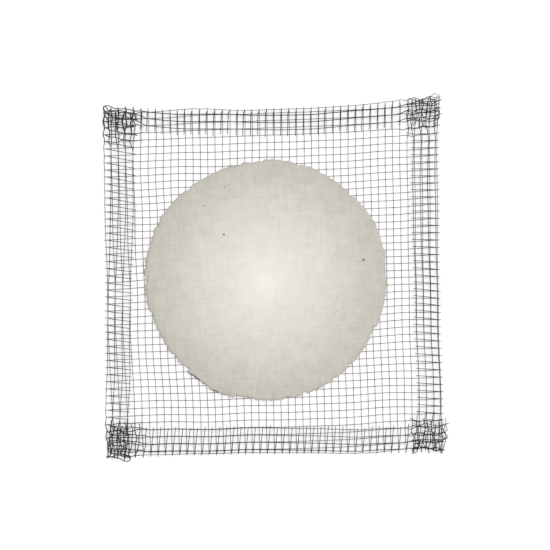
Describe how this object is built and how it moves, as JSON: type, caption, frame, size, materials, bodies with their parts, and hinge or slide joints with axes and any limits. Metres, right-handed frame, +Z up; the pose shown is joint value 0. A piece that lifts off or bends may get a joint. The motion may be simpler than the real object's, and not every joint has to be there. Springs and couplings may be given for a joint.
{
  "type": "wire gauze",
  "caption": "Square of woven steel wire mesh with folded hems on all four edges and a round ceramic pad moulded through its middle, used to spread heat under lab glassware.",
  "frame": {"origin": "centre of the square in plan, on the plane that the pad's underside rests on", "axes": "+Z up, square to the mesh, out of the face that the hems are folded over; +X along the weft wires; +Y along the warp wires, which is the slightly longer side"},
  "size_m": [0.1486, 0.154, 0.0034],
  "materials": {
    "wire": "dull galvanised iron wire, darkened",
    "ceramic": "unglazed, matt, warm white"
  },
  "bodies": {
    "root": {"back_hem_wefts_inner": "wire", "back_hem_wefts_outer": "wire", "ceramic_pad": "ceramic", "edge_warps": "wire", "edge_wefts": "wire", "front_hem_wefts_inner": "wire", "front_hem_wefts_outer": "wire", "left_hem_warps_inner": "wire", "left_hem_warps_outer": "wire", "right_hem_warps_inner": "wire", "right_hem_warps_outer": "wire", "warps_01": "wire", "warps_02": "wire", "warps_03": "wire", "warps_04": "wire", "warps_05": "wire", "warps_06": "wire", "warps_07": "wire", "warps_08": "wire", "warps_09": "wire", "warps_10": "wire", "warps_11": "wire", "warps_12": "wire", "warps_13": "wire", "warps_14": "wire", "warps_15": "wire", "warps_16": "wire", "warps_17": "wire", "warps_18": "wire", "warps_19": "wire", "warps_20": "wire", "warps_21": "wire", "warps_22": "wire", "warps_23": "wire", "wefts_01": "wire", "wefts_02": "wire", "wefts_03": "wire", "wefts_04": "wire", "wefts_05": "wire", "wefts_06": "wire", "wefts_07": "wire", "wefts_08": "wire", "wefts_09": "wire", "wefts_10": "wire", "wefts_11": "wire", "wefts_12": "wire", "wefts_13": "wire", "wefts_14": "wire", "wefts_15": "wire", "wefts_16": "wire", "wefts_17": "wire", "wefts_18": "wire", "wefts_19": "wire", "wefts_20": "wire", "wefts_21": "wire", "wefts_22": "wire", "wefts_23": "wire", "wefts_24": "wire"}
  },
  "joints": []
}
